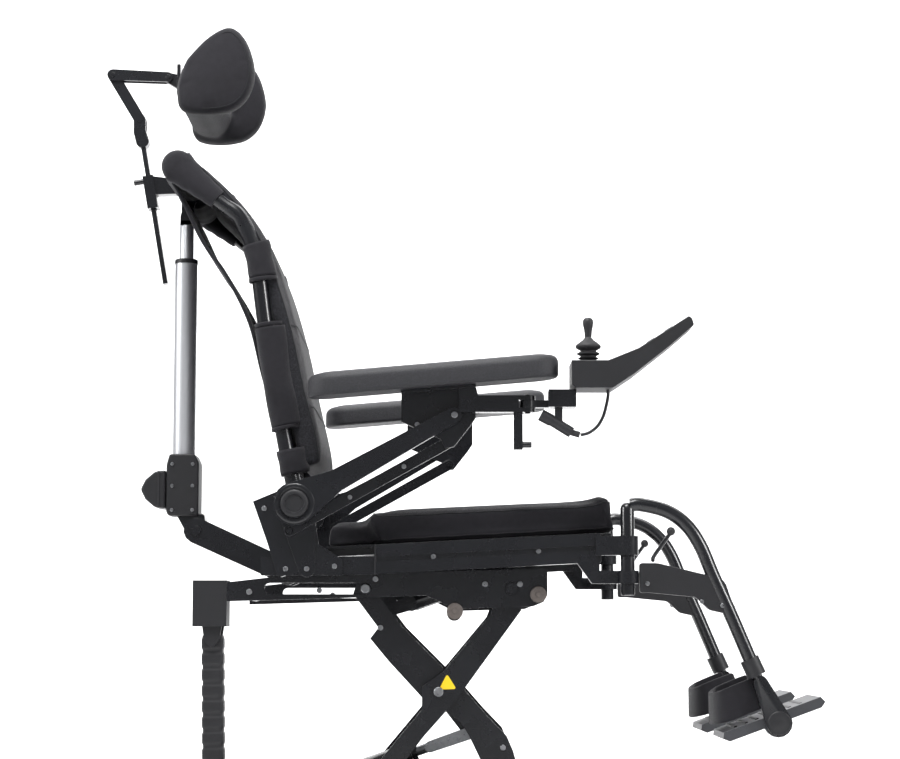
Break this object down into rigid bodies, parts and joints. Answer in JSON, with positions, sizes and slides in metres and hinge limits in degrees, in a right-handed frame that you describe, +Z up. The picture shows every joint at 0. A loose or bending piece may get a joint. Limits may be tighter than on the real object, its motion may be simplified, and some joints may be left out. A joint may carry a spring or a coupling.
{
  "type": "power wheelchair",
  "caption": "Power wheelchair with scissor seat lift, power tilt and recline, joystick, parallelogram armrests, swing-away legrests and headrest.",
  "frame": {"origin": "on the floor, under the middle of the chair's box", "axes": "+X forward, +Y to the user's left, +Z up"},
  "size_m": [1.1642, 0.62, 1.553],
  "materials": {
    "black_steel": "satin black powder coat",
    "black_plastic": "moulded, fine texture",
    "dark_fabric": "woven upholstery",
    "pad_skin": "textured polyurethane foam skin",
    "anodised": "clear anodised",
    "bright_steel": "zinc plated",
    "tyre_rubber": "solid tyre",
    "grey_plastic": "moulded"
  },
  "bodies": {
    "base": {"chassis_frame": "black_steel", "battery_box": "black_plastic", "power_module": "grey_plastic", "drive_motor_right": "black_steel", "drive_motor_left": "black_steel"},
    "scissor_outer": {"scissor_arm_outer": "black_steel"},
    "scissor_inner": {"scissor_arm_inner": "black_steel"},
    "lift_actuator": {"lift_actuator_body": "black_steel"},
    "lift_rod": {"lift_actuator_rod": "bright_steel"},
    "seat_lift": {"lift_top_frame": "black_steel", "cable_box": "black_plastic"},
    "chain_upper": {"cable_chain_upper": "black_plastic"},
    "chain_lower": {"cable_chain_lower": "black_plastic"},
    "seat": {"seat_frame": "black_steel", "seat_cushion": "dark_fabric", "back_bracket_right": "black_steel", "back_bracket_left": "black_steel", "recline_support_arm": "black_steel"},
    "tilt_actuator": {"tilt_actuator_body": "black_steel"},
    "tilt_rod": {"tilt_actuator_rod": "bright_steel"},
    "recline_actuator": {"recline_actuator_tube": "anodised", "recline_motor": "black_plastic"},
    "recline_rod": {"recline_actuator_rod": "anodised"},
    "back": {"back_frame": "black_steel", "back_cushion": "dark_fabric"},
    "head_bar": {"headrest_bar": "black_steel"},
    "head_link_lower": {"headrest_link_lower": "black_steel"},
    "head_link_upper": {"headrest_link_upper": "black_steel"},
    "headrest": {"headrest_bracket": "black_steel", "headrest_pad": "dark_fabric"},
    "joystick_arm": {"joystick_swing_arm": "black_steel", "joystick_housing": "black_plastic", "joystick_lead": "black_plastic", "joystick_plug": "black_plastic"},
    "joystick_gimbal": {"joystick_gimbal": "grey_plastic"},
    "joystick_stick": {"joystick_stick": "black_plastic"},
    "arm_right": {"armrest_arm_right": "black_steel"},
    "arm_link_right": {"armrest_link_right": "black_steel"},
    "arm_pad_right": {"armrest_bracket_right": "black_steel", "armrest_pad_right": "pad_skin"},
    "hanger_right": {"legrest_hanger_right": "black_steel"},
    "leg_right": {"leg_tube_right": "black_steel"},
    "foot_right": {"footplate_right": "grey_plastic", "heel_strap_right": "dark_fabric"},
    "wheel_right": {"drive_rim_right": "anodised", "drive_tyre_right": "tyre_rubber"},
    "fork_right": {"caster_fork_right": "black_steel"},
    "caster_right": {"caster_wheel_right": "tyre_rubber"},
    "arm_left": {"armrest_arm_left": "black_steel"},
    "arm_link_left": {"armrest_link_left": "black_steel"},
    "arm_pad_left": {"armrest_bracket_left": "black_steel", "armrest_pad_left": "pad_skin"},
    "hanger_left": {"legrest_hanger_left": "black_steel"},
    "leg_left": {"leg_tube_left": "black_steel"},
    "foot_left": {"footplate_left": "grey_plastic", "heel_strap_left": "dark_fabric"},
    "wheel_left": {"drive_rim_left": "anodised", "drive_tyre_left": "tyre_rubber"},
    "fork_left": {"caster_fork_left": "black_steel"},
    "caster_left": {"caster_wheel_left": "tyre_rubber"}
  },
  "joints": [
    {"name": "lift", "type": "hinge", "parent": "base", "child": "scissor_outer", "pos_m": [-0.128, 0, 0.311], "axis": [0, -1, 0], "range_deg": [-38, 0]},
    {"name": "lift_inner", "type": "hinge", "parent": "scissor_outer", "child": "scissor_inner", "pos_m": [-0.013, 0, 0.472], "axis": [0, -1, 0], "range_deg": [-0.5, 76.5]},
    {"name": "lift_level", "type": "hinge", "parent": "scissor_outer", "child": "seat_lift", "pos_m": [0.102, 0, 0.633], "axis": [0, -1, 0], "range_deg": [-0.5, 38.5]},
    {"name": "lift_motor_swing", "type": "hinge", "parent": "base", "child": "lift_actuator", "pos_m": [-0.19, 0, 0.322], "axis": [0, -1, 0], "range_deg": [-16.03, 0.5]},
    {"name": "lift_rod_slide", "type": "slide", "parent": "lift_actuator", "child": "lift_rod", "axis": [0.9458, 0, 0.3248], "range_m": [-0.001, 0.09653]},
    {"name": "chain_upper_swing", "type": "hinge", "parent": "seat_lift", "child": "chain_upper", "pos_m": [-0.369, -0.18, 0.552], "axis": [0, -1, 0], "range_deg": [-73.51, 0.5]},
    {"name": "chain_lower_swing", "type": "hinge", "parent": "chain_upper", "child": "chain_lower", "pos_m": [-0.365, -0.18, 0.35], "axis": [0, -1, 0], "range_deg": [-0.5, 113.09]},
    {"name": "tilt", "type": "hinge", "parent": "seat_lift", "child": "seat", "pos_m": [-0.261, 0, 0.662], "axis": [0, -1, 0], "range_deg": [0, 25]},
    {"name": "tilt_motor_swing", "type": "hinge", "parent": "seat_lift", "child": "tilt_actuator", "pos_m": [-0.09, 0, 0.603], "axis": [0, -1, 0], "range_deg": [-0.5, 38.25]},
    {"name": "tilt_rod_slide", "type": "slide", "parent": "tilt_actuator", "child": "tilt_rod", "axis": [0.9448, 0, 0.3275], "range_m": [-0.001, 0.06711]},
    {"name": "recline", "type": "hinge", "parent": "seat", "child": "back", "pos_m": [-0.236, 0, 0.763], "axis": [0, -1, 0], "range_deg": [0, 18]},
    {"name": "recline_motor_swing", "type": "hinge", "parent": "seat", "child": "recline_actuator", "pos_m": [-0.412, 0, 0.731], "axis": [0, -1, 0], "range_deg": [-0.5, 18.68]},
    {"name": "recline_rod_slide", "type": "slide", "parent": "recline_actuator", "child": "recline_rod", "axis": [0, 0, 1], "range_m": [-0.05694, 0.001]},
    {"name": "headrest_height", "type": "slide", "parent": "back", "child": "head_bar", "axis": [-0.1703, 0, 0.9854], "range_m": [0, 0.06]},
    {"name": "headrest_low", "type": "hinge", "parent": "head_bar", "child": "head_link_lower", "pos_m": [-0.52, 0, 1.427], "axis": [0, -1, 0], "range_deg": [-4, 20]},
    {"name": "headrest_elbow", "type": "hinge", "parent": "head_link_lower", "child": "head_link_upper", "pos_m": [-0.567, 0, 1.505], "axis": [0, -1, 0], "range_deg": [-5, 20]},
    {"name": "headrest_nod", "type": "hinge", "parent": "head_link_upper", "child": "headrest", "pos_m": [-0.473, 0, 1.501], "axis": [0, -1, 0], "range_deg": [-8, 15]},
    {"name": "armrest_right", "type": "hinge", "parent": "seat", "child": "arm_right", "pos_m": [-0.236, -0.263, 0.763], "axis": [0, -1, 0], "range_deg": [0, 22]},
    {"name": "armrest_link_right", "type": "hinge", "parent": "seat", "child": "arm_link_right", "pos_m": [-0.245, -0.244, 0.722], "axis": [0, -1, 0], "range_deg": [-0.5, 22.5]},
    {"name": "armrest_level_right", "type": "hinge", "parent": "arm_right", "child": "arm_pad_right", "pos_m": [0.012, -0.252, 0.901], "axis": [0, -1, 0], "range_deg": [-22.5, 0.5]},
    {"name": "hanger_right", "type": "hinge", "parent": "seat", "child": "hanger_right", "pos_m": [0.282, -0.235, 0.69], "axis": [0, 0, -1], "range_deg": [0, 80]},
    {"name": "leg_length_right", "type": "slide", "parent": "hanger_right", "child": "leg_right", "axis": [0.4149, 0, -0.9099], "range_m": [0, 0.06]},
    {"name": "footplate_right", "type": "hinge", "parent": "leg_right", "child": "foot_right", "pos_m": [0.514, -0.222, 0.425], "axis": [0, -1, 0], "range_deg": [-10, 20]},
    {"name": "drive_wheel_right", "type": "hinge", "parent": "base", "child": "wheel_right", "pos_m": [-0.215, -0.275, 0.165], "axis": [0, 1, 0], "continuous": true},
    {"name": "caster_swivel_right", "type": "hinge", "parent": "base", "child": "fork_right", "pos_m": [0.255, -0.215, 0.222], "axis": [0, 0, 1], "continuous": true},
    {"name": "caster_wheel_right", "type": "hinge", "parent": "fork_right", "child": "caster_right", "pos_m": [0.213, -0.215, 0.095], "axis": [0, 1, 0], "continuous": true},
    {"name": "armrest_left", "type": "hinge", "parent": "seat", "child": "arm_left", "pos_m": [-0.236, 0.263, 0.763], "axis": [0, -1, 0], "range_deg": [0, 22]},
    {"name": "armrest_link_left", "type": "hinge", "parent": "seat", "child": "arm_link_left", "pos_m": [-0.245, 0.244, 0.722], "axis": [0, -1, 0], "range_deg": [-0.5, 22.5]},
    {"name": "armrest_level_left", "type": "hinge", "parent": "arm_left", "child": "arm_pad_left", "pos_m": [0.012, 0.252, 0.901], "axis": [0, -1, 0], "range_deg": [-22.5, 0.5]},
    {"name": "hanger_left", "type": "hinge", "parent": "seat", "child": "hanger_left", "pos_m": [0.282, 0.235, 0.69], "axis": [0, 0, 1], "range_deg": [0, 80]},
    {"name": "leg_length_left", "type": "slide", "parent": "hanger_left", "child": "leg_left", "axis": [0.4149, 0, -0.9099], "range_m": [0, 0.06]},
    {"name": "footplate_left", "type": "hinge", "parent": "leg_left", "child": "foot_left", "pos_m": [0.514, 0.222, 0.425], "axis": [0, -1, 0], "range_deg": [-10, 20]},
    {"name": "drive_wheel_left", "type": "hinge", "parent": "base", "child": "wheel_left", "pos_m": [-0.215, 0.275, 0.165], "axis": [0, 1, 0], "continuous": true},
    {"name": "caster_swivel_left", "type": "hinge", "parent": "base", "child": "fork_left", "pos_m": [0.255, 0.215, 0.222], "axis": [0, 0, 1], "continuous": true},
    {"name": "caster_wheel_left", "type": "hinge", "parent": "fork_left", "child": "caster_left", "pos_m": [0.213, 0.215, 0.095], "axis": [0, 1, 0], "continuous": true},
    {"name": "joystick_swing", "type": "hinge", "parent": "arm_pad_right", "child": "joystick_arm", "pos_m": [0.126, -0.262, 0.918], "axis": [0, 0, -1], "range_deg": [0, 85]},
    {"name": "joystick_pitch", "type": "hinge", "parent": "joystick_arm", "child": "joystick_gimbal", "pos_m": [0.221, -0.262, 0.97], "axis": [0, 1, 0], "range_deg": [-12, 12], "stiffness_Nm_per_rad": 0.6},
    {"name": "joystick_roll", "type": "hinge", "parent": "joystick_gimbal", "child": "joystick_stick", "pos_m": [0.221, -0.262, 0.97], "axis": [1, 0, 0], "range_deg": [-12, 12], "stiffness_Nm_per_rad": 0.6}
  ],
  "couplings": [
    {"joint": "lift_inner", "follows": "lift", "ratio": -2},
    {"joint": "lift_level", "follows": "lift", "ratio": -1},
    {"joint": "lift_motor_swing", "follows": "lift", "ratio": 0.40862},
    {"joint": "lift_rod_slide", "follows": "lift", "m_per_rad": -0.14403},
    {"joint": "chain_upper_swing", "follows": "lift", "ratio": 1.9212},
    {"joint": "chain_lower_swing", "follows": "lift", "ratio": -2.963},
    {"joint": "tilt_motor_swing", "follows": "tilt", "ratio": 1.5102},
    {"joint": "tilt_rod_slide", "follows": "tilt", "m_per_rad": 0.1515},
    {"joint": "recline_motor_swing", "follows": "recline", "ratio": 1.0103},
    {"joint": "recline_rod_slide", "follows": "recline", "m_per_rad": -0.17808},
    {"joint": "armrest_link_right", "follows": "armrest_right", "ratio": 1},
    {"joint": "armrest_level_right", "follows": "armrest_right", "ratio": -1},
    {"joint": "armrest_link_left", "follows": "armrest_left", "ratio": 1},
    {"joint": "armrest_level_left", "follows": "armrest_left", "ratio": -1}
  ]
}
